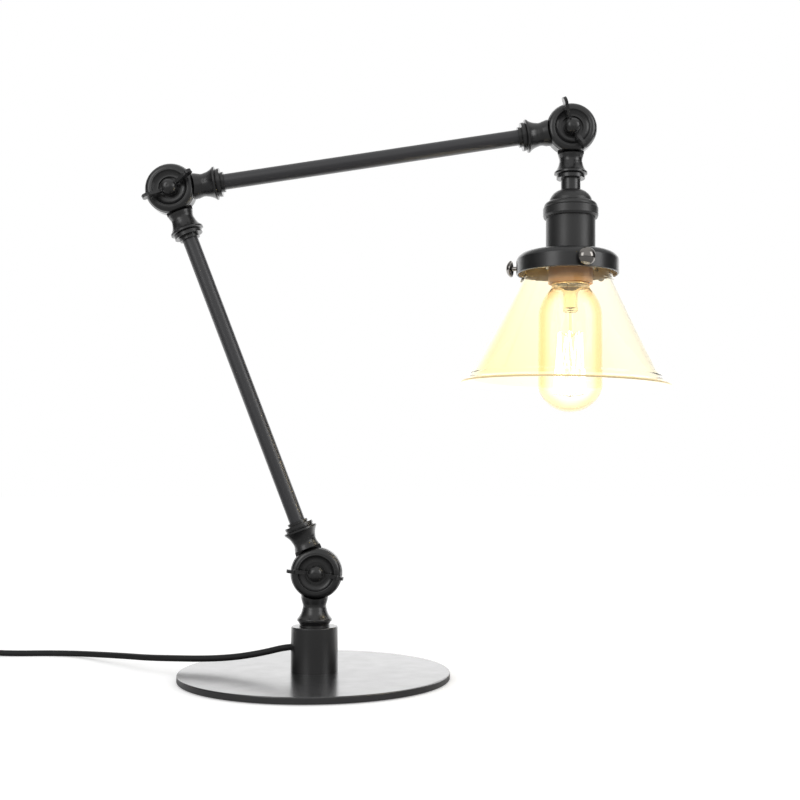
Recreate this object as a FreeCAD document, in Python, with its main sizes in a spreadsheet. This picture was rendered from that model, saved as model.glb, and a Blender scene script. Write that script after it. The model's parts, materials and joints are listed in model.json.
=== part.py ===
"""Industrial table lamp: a heavy disc base, two pipe arms on three clamped knuckles, and a glass cone.

Lengths are in millimetres and angles in degrees. The origin is the centre of the underside, +Z is up,
+X points from the post towards the shade and the arms move in the plane y = 0. Every piece is a body.
"""
import FreeCAD, Part
import math
import os
import re
import Sketcher

Vector = FreeCAD.Vector
doc = FreeCAD.newDocument("TableLamp")
sheet = doc.addObject("Spreadsheet::Sheet", "Sizes")

SIZES = {
    # base
    "base_d": 190, "base_top": 5.2, "base_lift": 0.6, "base_edge": 0.7,
    "pad_inset": 7, "pad_thick": 1.6, "pad_gap": 0.3,
    "foot_screw_pitch_d": 22, "foot_screw_d": 4, "foot_screw_head_d": 7.6, "foot_screw_head_h": 2.0,
    "foot_screw_reach": 6, "foot_screw_count": 3,
    # post
    "post_top_d": 32.6, "post_foot_d": 33.2, "post_top": 36.3, "post_edge": 0.8,
    "post_floor": 9, "post_bore_d": 24, "post_roof": 3.4,
    "pipe_thread_d": 10, "pipe_thread_bore": 6.4, "pipe_thread_in": 9, "pipe_thread_down": 7.4,
    "pipe_nut_flats": 14, "pipe_nut_h": 3,
    "cord_exit": 21.9, "bush_d": 7.6, "bush_sunk": 0.3, "bush_in": 1.6,
    # knuckles
    "low_pivot": 73.5, "low_offset": 1.4, "disc_d": 36.1, "rim_h": 5, "ridge_d": 26, "ridge_h": 8.6,
    "ridge_w": 0.9,
    "dish_h": 7.2, "recess_d": 16.2, "recess_h": 4.6, "split_gap": 0.05,
    "boss_d": 12.6, "cavity_d": 28.4, "cavity_h": 3.0,
    "washer_d": 12, "washer_thick": 0.8, "wire_bore": 5,
    "neck_start": 18.6, "neck_bead_d": 19, "neck_bead": 17.4, "neck_waist_d": 16.4, "neck_waist": 22.8,
    "flange_d": 23.8, "flange_at": 31.6, "flange_w": 1.2, "undercut_d": 19.4,
    "ring_d": 20.4, "ring_at": 34, "ring_w": 2.2, "collar_d": 14.6, "collar_at": 36.7, "collar_w": 1.9,
    "foot_cone_d": 20.2, "foot_ring_d": 21.2, "foot_ring_at": 36.2, "foot_flange_w": 2.2,
    # arms
    "lower_reach": 293.4, "upper_reach": 291.5, "lower_lean": 21.16, "upper_rise": 8.71,
    "tube_d": 11.25, "tube_wall": 1.1, "tube_in": 10, "fit": 0.05, "wire_d": 3.6, "wire_back": 0.6,
    # wing screws and nuts
    "screw_d": 5, "screw_run": 0.06, "screw_end": 8.3, "hub_d": 11.6, "hub_front": 14.4,
    "hub_shoulder": 10.6,
    "wing_span": 39.8, "wing_thick": 2.3, "wing_root": 8.4, "wing_tip_low": 13, "wing_tip_high": 20,
    "nut_flats": 8, "nut_h": 3.2,
    "low_wing_turn": -8, "elbow_wing_turn": 30.3, "head_wing_turn": -67.8,
    # lampholder, measured down from the head pivot
    "head_tilt": 0.7, "stem_d": 14.1, "stem_bore": 7, "stem_top": 31.2, "stem_end": 48.9,
    "dome_top": 44.8, "dome_d": 30.7, "dome_end": 53.5, "dome_wall": 1.1,
    "collar_top": 53.5, "holder_ring_d": 39.5, "holder_ring_end": 64.8, "holder_ring_shoulder": 56.9,
    "holder_d": 35.2, "holder_wall": 1.1, "holder_top": 58.3, "holder_end": 90.7, "skirt_d": 31.8,
    "skirt_end": 112.9,
    "core_top": 65.3, "core_seat": 91.9, "core_d": 29.2, "sleeve_d": 26.5, "sleeve_wall": 0.35,
    "clamp_ring_d": 34.6, "clamp_ring_h": 10,
    # gallery and thumb screws
    "gallery_d": 73, "gallery_shift": 2.2, "gallery_wall": 1.2, "gallery_end": 105.7,
    "gallery_shoulder": 95.9, "gallery_flat_d": 55,
    "thumb_at": 99.7, "thumb_d": 3.2, "thumb_head_d": 12.2, "thumb_neck": 3.2, "thumb_end": 45,
    "thumb_first": -79.5, "thumb_step": 120, "thumb_play": 0.3, "thumb_point": 2.4, "thumb_point_d": 2,
    # shade
    "shade_wall": 2.3, "shade_lip_d": 68.6, "shade_lip_top": 95.7, "shade_lip_w": 2, "shade_neck_d": 64.8,
    "shade_neck_end": 105.7, "shade_top_d": 67, "shade_top": 110.3, "shade_low_d": 135.6,
    "shade_rim": 185.2, "shade_flare": 6.9, "shade_flare_w": 6.5, "shade_lean": 0.9,
    # bulb
    "cap_d": 26.3, "cap_top": 96.7, "cap_end": 114.3, "tip_top": 93.3, "tip_d": 9,
    "bulb_neck_d": 27.6, "bulb_d": 45.5, "bulb_full": 139.3, "bulb_round": 187.8, "bulb_dome": 16.5,
    "bulb_wall": 0.7,
    "mount_d": 10.8, "mount_end": 133.6, "rod_d": 2, "rod_end": 149.3, "button_d": 4.4,
    "filament_d": 0.9, "filament_top": 148.3, "filament_end": 190.8, "filament_top_r": 8.6,
    "filament_end_r": 11.6,
    "filament_loops": 7, "spider_at": 193.8,
    # cord
    "cord_d": 4.5, "cord_in": 1, "coil_x": -400, "coil_r": 33, "coil_pitch": 5.9, "coil_layer": 5,
    "coil_layers": 4, "coil_low": 3.5, "coil_turns": 1.5, "tie_w": 5, "tie_thick": 0.7, "tie_gap": 0.5,
    # in-line switch
    "switch_x": -331, "switch_y": 97, "switch_l": 58, "switch_w": 25, "switch_h": 17, "switch_split": 7.5,
    "switch_wall": 1.8, "switch_round": 9, "switch_screw_x": 17, "switch_screw_y": 7, "switch_screw_d": 2.4,
    "switch_screw_head_d": 4.6, "switch_screw_head_h": 1.2, "switch_boss_d": 5.6,
    "rocker_r": 7.5, "rocker_w": 9.6, "rocker_gap": 0.3, "rocker_pivot": 13.5, "rocker_swing": 8,
    "rocker_pin_d": 2.4, "rocker_rib": 1.5, "rocker_run": 0.06,
    # plug
    "plug_x": -345, "plug_y": 164, "plug_l": 36, "plug_w": 35, "plug_h": 13.7, "plug_neck": 8.4,
    "plug_pin_d": 4, "plug_pin_l": 19, "plug_pitch": 18.6,
}

# The lead leaves the post over the rim of the base, comes down to the table and goes on to the switch.
LEAD_POINTS = [(-19.3, 0, 21.9), (-36, 1.1, 17.6), (-56, 4.4, 13.9), (-78, 8, 12.2), (-102, 13, 11.8),
               (-123, 31, 9.3), (-144, 53, 7), (-168, 73, 4.9), (-190, 92, 2.7), (-215, 98, 2.25),
               (-239, 96, 2.25), (-259, 97.5, 2.5), (-277, 98, 4.6), (-292, 97, 7.5)]
LINK_POINTS = [(-369, 97, 7.5), (-383, 97, 3.5)]
TAIL_POINTS = [(-385.5, 163, 18.5), (-370, 164, 12.5), (-355, 164, 6.85)]

for number, (alias, value) in enumerate(SIZES.items(), start=1):
    sheet.set("A%d" % number, alias.replace("_", " "))
    sheet.set("B%d" % number, str(value))
    sheet.setAlias("B%d" % number, alias)
doc.recompute()

bodies = []
FRONT, BACK = "-1", "1"
DOWN, UP = "-1", "1"


def ref(expression):
    """Point every alias in an expression at the sheet."""
    def full(match):
        word = match.group(0)
        return "Sizes." + word if word in SIZES else word
    return re.sub(r"[a-z_][a-z_0-9]*", full, str(expression))


def size(expression):
    """Value of an expression of the sheet's aliases."""
    return float(sheet.evalExpression(ref(expression)))


def bind(thing, path, expression):
    thing.setExpression(path, ref(expression))


def new_body(label, at=("0", "0", "0"), turn_y="0"):
    """Body placed at a point and turned about the Y axis, both bound to the sheet."""
    body = doc.addObject("PartDesign::Body", label)
    body.Label = label
    body.AllowCompound = True
    for axis, expression in zip("xyz", at):
        bind(body, "Placement.Base." + axis, expression)
    body.Placement = FreeCAD.Placement(
        Vector(*[size(e) for e in at]), FreeCAD.Rotation(Vector(0, 1, 0), size(turn_y)))
    bind(body, "Placement.Rotation.Angle", turn_y)
    bodies.append(body)
    return body


def origin_feature(body, role):
    return next(feature for feature in body.Origin.OriginFeatures if feature.Role == role)


def flat_sketch(body, name, plane, shift):
    """Empty sketch on one of the body's origin planes, moved along its own axes."""
    sketch = body.newObject("Sketcher::SketchObject", name)
    sketch.AttachmentSupport = [(origin_feature(body, plane), "")]
    sketch.MapMode = "FlatFace"
    for axis, expression in zip("xyz", shift):
        bind(sketch, "AttachmentOffset.Base." + axis, expression)
    return sketch


def pin_point(sketch, geometry, end, x, y):
    """Fix one point of a sketch element at bound distances from the sketch's origin."""
    for kind, expression in (("DistanceX", x), ("DistanceY", y)):
        rule = sketch.addConstraint(Sketcher.Constraint(kind, -1, 1, geometry, end, size(expression)))
        bind(sketch, "Constraints[%d]" % rule, expression)


def arc_through(start, middle, end):
    """Anticlockwise arc, as the sketcher wants it, with the number of its end that is at start."""
    centre = Part.Circle(start, middle, end).Center
    circle = Part.Circle(centre, Vector(0, 0, 1), centre.distanceToPoint(start))
    first, between, last = [
        math.atan2(p.y - centre.y, p.x - centre.x) % (2 * math.pi) for p in (start, middle, end)]
    if (between - first) % (2 * math.pi) < (last - first) % (2 * math.pi):
        return Part.ArcOfCircle(circle, first, last), 1
    return Part.ArcOfCircle(circle, last, first), 2


def draw(body, name, plane, outline, shift=("0", "0", "0")):
    """Closed outline of corners (x, y). ("arc", x, y) bends the edge between two of them through a point."""
    sketch = flat_sketch(body, name, plane, shift)
    corners = [item for item in outline if item[0] != "arc"]
    bends = {}
    count = -1
    for item in outline:
        if item[0] == "arc":
            bends[count] = item[1:]
        else:
            count += 1
    places = [Vector(size(x), size(y), 0) for x, y in corners]
    edges = []
    first_ends = []
    for index, start in enumerate(places):
        end = places[(index + 1) % len(places)]
        shape, first_end = Part.LineSegment(start, end), 1
        if index in bends:
            middle = Vector(size(bends[index][0]), size(bends[index][1]), 0)
            shape, first_end = arc_through(start, middle, end)
        edges.append(sketch.addGeometry(shape, False))
        first_ends.append(first_end)
    for index, edge in enumerate(edges):
        after = (index + 1) % len(edges)
        sketch.addConstraint(Sketcher.Constraint(
            "Coincident", edge, 3 - first_ends[index], edges[after], first_ends[after]))
        pin_point(sketch, edge, first_ends[index], *corners[index])
        if index in bends:
            middle = sketch.addGeometry(Part.Point(Vector(size(bends[index][0]), size(bends[index][1]), 0)),
                    True)
            pin_point(sketch, middle, 1, *bends[index])
            sketch.addConstraint(Sketcher.Constraint("PointOnObject", middle, 1, edge))
    return sketch


def draw_circle(body, name, plane, x, y, diameter, shift=("0", "0", "0")):
    sketch = flat_sketch(body, name, plane, shift)
    ring = sketch.addGeometry(Part.Circle(Vector(size(x), size(y), 0), Vector(0, 0, 1), size(diameter) / 2),
            False)
    pin_point(sketch, ring, 3, x, y)
    rule = sketch.addConstraint(Sketcher.Constraint("Diameter", ring, size(diameter)))
    bind(sketch, "Constraints[%d]" % rule, diameter)
    return sketch


def draw_hexagon(body, name, plane, flats, shift=("0", "0", "0")):
    """Regular hexagon about the sketch's origin, given across its flats."""
    outline = [("(%s) / 2 / cos(30) * cos(%d)" % (flats, turn),
            "(%s) / 2 / cos(30) * sin(%d)" % (flats, turn))
               for turn in range(0, 360, 60)]
    return draw(body, name, plane, outline, shift)


def turn(body, name, plane, outline, axis="V_Axis", shift=("0", "0", "0"), cut=False):
    """Revolve an outline about an axis of its own sketch, adding it or cutting it away."""
    sketch = draw(body, name + "_outline", plane, outline, shift)
    feature = body.newObject("PartDesign::Groove" if cut else "PartDesign::Revolution", name)
    feature.Profile = sketch
    feature.ReferenceAxis = (sketch, [axis])
    feature.Angle = 360
    sketch.Visibility = False
    return feature


def press(body, name, sketch, length, both=False, cut=False, backwards=False):
    """Pad or pocket a sketch along its normal, or to both sides of its plane."""
    feature = body.newObject("PartDesign::Pocket" if cut else "PartDesign::Pad", name)
    feature.Profile = sketch
    bind(feature, "Length", length)
    feature.Midplane = both
    feature.Reversed = backwards
    return feature


def repeat_round(body, name, feature, count, axis_role="Z_Axis"):
    """Copies of a feature spread evenly about an axis of the body."""
    pattern = body.newObject("PartDesign::PolarPattern", name)
    pattern.Originals = [feature]
    pattern.Axis = (origin_feature(body, axis_role), [""])
    pattern.Angle = 360
    bind(pattern, "Occurrences", count)
    body.Tip = pattern
    return pattern


def tube_outline(outer, inner, low, high):
    return [(inner, low), (outer, low), (outer, high), (inner, high)]


# Base and post


def make_base_plate():
    body = new_body("base_plate")
    rim = "base_d / 2"
    soft = "base_edge * (1 - cos(45))"
    turn(body, "disc", "XZ_Plane", [
        ("0", "pad_thick"), ("base_d / 2 - pad_inset + pad_gap", "pad_thick"),
        ("base_d / 2 - pad_inset + pad_gap", "base_lift"),
        (rim + " - base_edge / 2", "base_lift"), (rim, "base_lift + base_edge / 2"),
        (rim, "base_top - base_edge"), ("arc", rim + " - " + soft, "base_top - " + soft),
        (rim + " - base_edge", "base_top"), ("0", "base_top")])
    hole = turn(body, "screw_hole", "XZ_Plane", [
        ("0", "pad_thick - 1"), ("foot_screw_head_d / 2 + fit", "pad_thick - 1"),
        ("foot_screw_head_d / 2 + fit", "pad_thick"),
        ("foot_screw_d / 2 + 2 * fit", "pad_thick + foot_screw_head_h"),
        ("foot_screw_d / 2 + 2 * fit", "base_top + 1"),
        ("0", "base_top + 1")], shift=("foot_screw_pitch_d / 2", "0", "0"), cut=True)
    repeat_round(body, "screw_holes", hole, "foot_screw_count")


def make_base_pad():
    body = new_body("base_pad")
    rim = "base_d / 2 - pad_inset"
    turn(body, "disc", "XZ_Plane", [("0", "0"), (rim, "0"), (rim, "pad_thick"), ("0", "pad_thick")])


def make_post():
    body = new_body("post")
    top = "post_top_d / 2"
    soft = "post_edge * (1 - cos(45))"
    turn(body, "shell", "XZ_Plane", [
        ("0", "base_top"), ("post_foot_d / 2", "base_top"), (top, "post_top - post_edge"),
        ("arc", top + " - " + soft, "post_top - " + soft), (top + " - post_edge", "post_top"),
        ("pipe_thread_d / 2 + fit", "post_top"), ("pipe_thread_d / 2 + fit", "post_top - post_roof"),
        ("post_bore_d / 2", "post_top - post_roof"), ("post_bore_d / 2", "base_top + post_floor"),
        ("0", "base_top + post_floor")])
    hole = turn(body, "screw_hole", "XZ_Plane", [
        ("0", "base_top - 1"), ("foot_screw_d / 2 + fit", "base_top - 1"),
        ("foot_screw_d / 2 + fit", "base_top + foot_screw_reach + 1"),
        ("0", "base_top + foot_screw_reach + 1")],
        shift=("foot_screw_pitch_d / 2", "0", "0"), cut=True)
    repeat_round(body, "screw_holes", hole, "foot_screw_count")
    side = draw_circle(body, "cord_hole_outline", "YZ_Plane", "0", "cord_exit", "bush_d + 2 * fit")
    press(body, "cord_hole", side, "post_foot_d", cut=True)


def make_post_screws():
    body = new_body("post_screws")
    screw = turn(body, "screw", "XZ_Plane", [
        ("0", "pad_thick + fit"), ("foot_screw_head_d / 2 - fit", "pad_thick + fit"),
        ("foot_screw_d / 2", "pad_thick + foot_screw_head_h"),
        ("foot_screw_d / 2", "base_top + foot_screw_reach"),
        ("0", "base_top + foot_screw_reach")], shift=("foot_screw_pitch_d / 2", "0", "0"))
    repeat_round(body, "screws", screw, "foot_screw_count")


def make_cord_bush():
    """Rubber bush in the side of the post."""
    body = new_body("cord_bush", at=("0", "0", "cord_exit"))
    inner = "-(post_bore_d / 2 - bush_in)"
    face = "-(post_foot_d / 2 - bush_sunk)"
    bore = "cord_d / 2 + fit"
    turn(body, "ring", "XZ_Plane", [
        (inner, bore), (inner, "bush_d / 2"), (face, "bush_d / 2"), (face, bore)], axis="H_Axis")


def make_post_pipe():
    """Threaded pipe through the roof of the post and up into the lowest knuckle, with its nut inside."""
    body = new_body("post_pipe")
    turn(body, "pipe", "XZ_Plane", tube_outline(
        "pipe_thread_d / 2", "pipe_thread_bore / 2", "post_top - pipe_thread_down",
        "post_top + pipe_thread_in"))
    nut = new_body("post_pipe_nut")
    low = "post_top - post_roof - pipe_nut_h"
    press(nut, "hexagon", draw_hexagon(nut, "hexagon_outline", "XY_Plane", "pipe_nut_flats",
            ("0", "0", low)),
          "pipe_nut_h")
    hole = draw_circle(nut, "hole_outline", "XY_Plane", "0", "0", "pipe_thread_d + 2 * fit",
            ("0", "0", low))
    press(nut, "hole", hole, "pipe_nut_h", cut=True, backwards=True)


# Knuckles. Each is two halves that meet at y = 0, with a neck as round as it is deep on the split plane.


def neck_outline(way, last):
    """Turned neck from the disc out to its rings. The distances grow along the way that it points."""
    def at(radius, distance):
        return (radius, "%s * (%s)" % (way, distance))

    def through(radius, distance):
        return ("arc",) + at(radius, distance)
    points = [
        at("0", "neck_start - 7"), at("neck_bead_d / 2", "neck_start - 7"),
        at("neck_bead_d / 2", "neck_bead"),
        through("neck_bead_d / 2 - 0.45", "neck_bead + 1.9"),
        at("neck_waist_d / 2 + 0.2", "neck_waist - 1.4"),
        through("neck_waist_d / 2", "neck_waist"), at("neck_waist_d / 2 + 0.35", "neck_waist + 2.2"),
        through("neck_waist_d / 2 + 1.35", "neck_waist + 5.4"), at("flange_d / 2", "flange_at")]
    return points + [at(radius, distance) for radius, distance in last]


UNDERCUT = [("flange_d / 2", "flange_at + flange_w"), ("undercut_d / 2", "ring_at - 0.4"),
            ("undercut_d / 2", "ring_at")]
ARM_END = UNDERCUT + [("ring_d / 2", "ring_at + 0.2"), ("ring_d / 2", "ring_at + ring_w"),
           ("collar_d / 2 - 0.5", "ring_at + ring_w"), ("collar_d / 2 - 0.5", "collar_at"),
           ("collar_d / 2", "collar_at + 0.2"), ("collar_d / 2", "collar_at + collar_w"),
           ("0", "collar_at + collar_w")]
HEAD_END = UNDERCUT + [("ring_d / 2", "ring_at + 0.2"), ("ring_d / 2", "ring_at + ring_w"),
        ("0", "ring_at + ring_w")]
POST_END = [("flange_d / 2 + 0.3", "flange_at + 0.6"),
            ("flange_d / 2 + 0.2", "flange_at + foot_flange_w - 0.5"),
            ("flange_d / 2 - 0.5", "flange_at + foot_flange_w"), ("foot_cone_d / 2", "foot_ring_at - 0.1"),
            ("foot_ring_d / 2", "foot_ring_at"), ("foot_ring_d / 2", "low_pivot - post_top"),
            ("0", "low_pivot - post_top")]


def disc_outline(side, recess_r):
    """Half section of a disc, as (y, radius): boss, wire cavity, rim, ridge, dish and recess."""
    def at(depth, radius):
        return ("%s * (%s)" % (side, depth), radius)

    def through(depth, radius):
        return ("arc",) + at(depth, radius)
    bore = "screw_d / 2 + screw_run"
    return [
        at("washer_thick / 2 + fit", bore), at("washer_thick / 2 + fit", "boss_d / 2"),
        at("cavity_h", "boss_d / 2"),
        at("cavity_h", "cavity_d / 2"), at("split_gap", "cavity_d / 2"), at("split_gap", "disc_d / 2"),
        at("rim_h - 0.5", "disc_d / 2"), at("rim_h", "disc_d / 2 - 0.35"),
        through("rim_h + 0.72 * (ridge_h - rim_h)",
            "ridge_d / 2 + ridge_w + 0.55 * (disc_d - ridge_d - ridge_w) / 2"),
        at("ridge_h", "ridge_d / 2 + ridge_w / 2"), through("ridge_h + 0.1", "ridge_d / 2"),
        at("ridge_h - 0.1", "ridge_d / 2 - ridge_w / 2"),
        through("dish_h + 0.1", "(ridge_d + recess_d) / 4 + 0.2"), at("dish_h - 0.3", recess_r),
        at("recess_h", recess_r), at("recess_h", bore)]


def make_knuckle_half(label, side, way, far, socket_d, socket_at, last, place, aside="0"):
    """One half of a knuckle, its pivot far along the body's Z axis and its neck aside from the pivot."""
    body = new_body(label, **place)
    turn(body, "neck", "XZ_Plane", neck_outline(way, last), shift=(aside, far, "0"))
    block = [("-disc_d", way + " * (neck_start - 8)"), ("disc_d", way + " * (neck_start - 8)"),
             ("disc_d", way + " * neck_start"), ("-disc_d", way + " * neck_start")]
    open_side = draw(body, "open_side_outline", "XZ_Plane", block, ("0", far, "%s * split_gap * -1" % side))
    press(body, "open_side", open_side, "disc_d", cut=True, backwards=side == BACK)
    around = draw_circle(body, "disc_seat_outline", "XZ_Plane", "0", "0", "disc_d - 0.3", ("0", far, "0"))
    press(body, "disc_seat", around, "2 * disc_d", both=True, cut=True)
    recess_r = "recess_d / 2"
    turn(body, "disc", "YZ_Plane", disc_outline(side, recess_r), axis="H_Axis", shift=("0", far, "0"))
    turn(body, "socket", "XZ_Plane", [
        ("0", way + " * (cavity_d / 2 - 2)"), ("wire_bore / 2", way + " * (cavity_d / 2 - 2)"),
        ("wire_bore / 2", "%s * (%s)" % (way, socket_at)),
        (socket_d + " / 2", "%s * (%s)" % (way, socket_at)),
        (socket_d + " / 2", way + " * 60"), ("0", way + " * 60")], shift=(aside, far, "0"), cut=True)


LOW_PIVOT = ("low_offset", "0", "low_pivot")
ELBOW = ("low_offset - lower_reach * sin(lower_lean)", "0", "low_pivot + lower_reach * cos(lower_lean)")
HEAD = (ELBOW[0] + " + upper_reach * cos(upper_rise)", "0", ELBOW[2] + " + upper_reach * sin(upper_rise)")
LOWER_ARM = dict(at=LOW_PIVOT, turn_y="-lower_lean")
UPPER_ARM = dict(at=ELBOW, turn_y="90 - upper_rise")
HEAD_FRAME = dict(at=HEAD, turn_y="head_tilt")
PIPE_SOCKET = ("pipe_thread_d + 2 * fit", "low_pivot - post_top - pipe_thread_in")
TUBE_SOCKET = ("tube_d + 2 * fit", "collar_at + collar_w - tube_in")
STEM_SOCKET = ("stem_d + 2 * fit", "stem_top")


def make_knuckle_halves():
    def half(label, side, way, far, socket, last, place, aside="0"):
        make_knuckle_half(label, side, way, far, "(%s)" % socket[0], socket[1], last, place, aside)
    half("post_knuckle", FRONT, DOWN, "0", PIPE_SOCKET, POST_END, dict(at=LOW_PIVOT), "-low_offset")
    half("lower_arm_knuckle_bottom", BACK, UP, "0", TUBE_SOCKET, ARM_END, LOWER_ARM)
    half("lower_arm_knuckle_top", BACK, DOWN, "lower_reach", TUBE_SOCKET, ARM_END, LOWER_ARM)
    half("upper_arm_knuckle_left", FRONT, UP, "0", TUBE_SOCKET, ARM_END, UPPER_ARM)
    half("upper_arm_knuckle_right", FRONT, DOWN, "upper_reach", TUBE_SOCKET, ARM_END, UPPER_ARM)
    half("head_knuckle", BACK, DOWN, "0", STEM_SOCKET, HEAD_END, HEAD_FRAME)


def make_arm(prefix, reach, place):
    """Tube between the two sockets of an arm, and the wire inside it."""
    tube = new_body(prefix + "_tube", **place)
    start = "collar_at + collar_w - tube_in + fit"
    turn(tube, "tube", "XZ_Plane", tube_outline(
        "tube_d / 2", "tube_d / 2 - tube_wall", start, "%s - (%s)" % (reach, start)))
    wire = new_body(prefix + "_wire", **place)
    end = "neck_start + wire_back"
    turn(wire, "wire", "XZ_Plane", tube_outline("wire_d / 2", "0", end, "%s - (%s)" % (reach, end)))


def make_washer(label, at):
    body = new_body(label, at=at)
    turn(body, "ring", "YZ_Plane", [
        ("-washer_thick / 2", "screw_d / 2 + screw_run"), ("washer_thick / 2", "screw_d / 2 + screw_run"),
        ("washer_thick / 2", "washer_d / 2"), ("-washer_thick / 2", "washer_d / 2")], axis="H_Axis")


def make_wing_screw(label, at, wing_turn):
    """Screw from the front of a knuckle, with a domed hub and two flat wings."""
    body = new_body(label, at=at, turn_y="-(%s)" % wing_turn)
    seat = "-(recess_h + fit)"
    turn(body, "shank_and_hub", "YZ_Plane", [
        ("screw_end", "0"), ("screw_end", "screw_d / 2 - 0.5"), ("screw_end - 0.5", "screw_d / 2"),
        (seat, "screw_d / 2"), (seat, "hub_d / 2 - 0.4"), (seat + " - 0.8", "hub_d / 2"),
        ("-hub_shoulder", "hub_d / 2"),
        ("arc", "-(hub_shoulder + 0.74 * (hub_front - hub_shoulder))", "hub_d / 2 * 0.7"),
        ("-hub_front", "0")], axis="H_Axis")
    tip = "wing_span / 2"
    right = [("hub_d / 2 + 1", "-wing_root - 0.2"), (tip + " - 1.8", "-wing_tip_low"),
             ("arc", tip, "-(wing_tip_low + wing_tip_high) / 2"), (tip + " - 1.6", "-wing_tip_high"),
             ("arc", tip + " - 3.6", "-wing_tip_high - 0.2"), (tip + " - 6", "-wing_tip_high + 2.2"),
             ("hub_d / 2", "-hub_shoulder - 1.2")]
    left = [(item[0], "-(%s)" % item[1]) + item[2:] if item[0] == "arc" else ("-(%s)" % item[0], item[1])
            for item in reversed(right)]
    outline = draw(body, "wings_outline", "XY_Plane", right + left)
    press(body, "wings", outline, "wing_thick", both=True)


def make_nut(label, at, turn_y="0"):
    """Hexagon nut in the back recess of a knuckle."""
    body = new_body(label, at=at, turn_y=turn_y)
    low = "-(recess_h + fit)"
    press(body, "hexagon", draw_hexagon(body, "hexagon_outline", "XZ_Plane", "nut_flats", ("0", "0", low)),
          "nut_h", backwards=True)
    hole = draw_circle(body, "hole_outline", "XZ_Plane", "0", "0", "screw_d + 2 * screw_run",
            ("0", "0", low))
    press(body, "hole", hole, "nut_h", cut=True)


def make_pivot_hardware():
    for name, at, wing_turn, nut_turn in (("low", LOW_PIVOT, "low_wing_turn", "-lower_lean"),
                                          ("elbow", ELBOW, "elbow_wing_turn", "-lower_lean"),
                                          ("head", HEAD, "head_wing_turn", "head_tilt")):
        make_washer(name + "_pivot_washer", at)
        make_wing_screw(name + "_wing_screw", at, wing_turn)
        make_nut(name + "_pivot_nut", at, nut_turn)


# Head, in a frame at its pivot. The sizes called top and end are depths below that pivot.


def below(points):
    """Outline of (radius, depth) points turned into (radius, z)."""
    return [(item[0], item[1], "-(%s)" % item[2]) if item[0] == "arc" else (item[0], "-(%s)" % item[1])
            for item in points]


def make_head_stem():
    body = new_body("head_stem", **HEAD_FRAME)
    turn(body, "pipe", "XZ_Plane", below(tube_outline("stem_d / 2", "stem_bore / 2", "stem_top + fit",
            "stem_end")))
    wire = new_body("head_wire", **HEAD_FRAME)
    turn(wire, "wire", "XZ_Plane", below(tube_outline("wire_d / 2", "0", "neck_start + wire_back",
            "core_top")))


def make_socket_cap():
    """Domed cap of the lampholder, with a stepped foot that stands in the ring."""
    body = new_body("socket_cap", **HEAD_FRAME)
    hole = "stem_d / 2 + fit"
    out = "dome_d / 2"
    turn(body, "dome", "XZ_Plane", below([
        (hole, "dome_top"), (hole + " + 1", "dome_top"), ("arc", out + " * 0.82", "dome_top + 2.7"),
        (out + " - 0.3", "dome_top + 6.6"), (out, "dome_end"), (out + " - dome_wall", "dome_end"),
        (out + " - dome_wall - 0.3", "dome_top + 7"),
        ("arc", out + " * 0.78 - dome_wall / 2", "dome_top + 4"),
        (hole + " + 0.6", "dome_top + dome_wall + 0.5"), (hole, "dome_top + dome_wall + 0.5")]))


def make_socket_ring():
    """Stepped ring that screws the cap to the body of the lampholder."""
    body = new_body("socket_ring", **HEAD_FRAME)
    out = "holder_ring_d / 2"
    bore = "holder_d / 2 + fit"
    turn(body, "ring", "XZ_Plane", below([
        ("dome_d / 2 - 4", "collar_top + fit"), ("dome_d / 2 + 0.4", "collar_top + fit"),
        ("arc", "dome_d / 2 + 2.9", "collar_top + 1.1"), (out + " - 0.7", "holder_ring_shoulder"),
        (out + " - 0.9", "holder_ring_shoulder + 0.5"), (out, "holder_ring_shoulder + 1.1"),
        (out, "holder_ring_end - 1.6"), (out + " - 0.6", "holder_ring_end"), (bore, "holder_ring_end"),
        (bore, "holder_top - fit"), ("dome_d / 2 - 4", "holder_top - fit")]))


def make_socket_body():
    """Outer shell of the lampholder: a cylinder, then the threaded skirt that carries the gallery."""
    body = new_body("socket_body", **HEAD_FRAME)
    turn(body, "shell", "XZ_Plane", below([
        ("holder_d / 2 - holder_wall", "holder_top"), ("holder_d / 2", "holder_top"),
        ("holder_d / 2", "holder_end"),
        ("skirt_d / 2", "holder_end"), ("skirt_d / 2", "skirt_end"), ("core_d / 2 + fit", "skirt_end"),
        ("core_d / 2 + fit", "holder_end - holder_wall"),
        ("holder_d / 2 - holder_wall", "holder_end - holder_wall")]))


def make_socket_inside():
    """Porcelain core on its shoulder, and the threaded sleeve and sprung contact that it holds."""
    core = new_body("socket_core", **HEAD_FRAME)
    wide = "holder_d / 2 - holder_wall - fit"
    bore = "sleeve_d / 2 + sleeve_wall + fit"
    turn(core, "porcelain", "XZ_Plane", below([
        ("0", "core_top"), (wide, "core_top"), (wide, "holder_end - holder_wall - fit"),
        ("core_d / 2", "holder_end - holder_wall - fit"), ("core_d / 2", "skirt_end - 0.6"),
        (bore, "skirt_end - 0.6"), (bore, "core_seat"), ("0", "core_seat")]))
    sleeve = new_body("socket_sleeve", **HEAD_FRAME)
    turn(sleeve, "thread", "XZ_Plane", below(tube_outline(
        "sleeve_d / 2 + sleeve_wall", "sleeve_d / 2", "core_seat", "skirt_end - 1.4")))
    contact = new_body("socket_contact", **HEAD_FRAME)
    strip = draw(contact, "strip_outline", "XZ_Plane", below([
        ("-6", "core_seat + fit"), ("-1", "core_seat + fit"), ("4.6", "tip_top - 0.65"),
        ("4.6", "tip_top - fit"),
        ("-1", "core_seat + 0.6"), ("-6", "core_seat + 0.6")]))
    press(contact, "strip", strip, "tip_d / 2", both=True)


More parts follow.
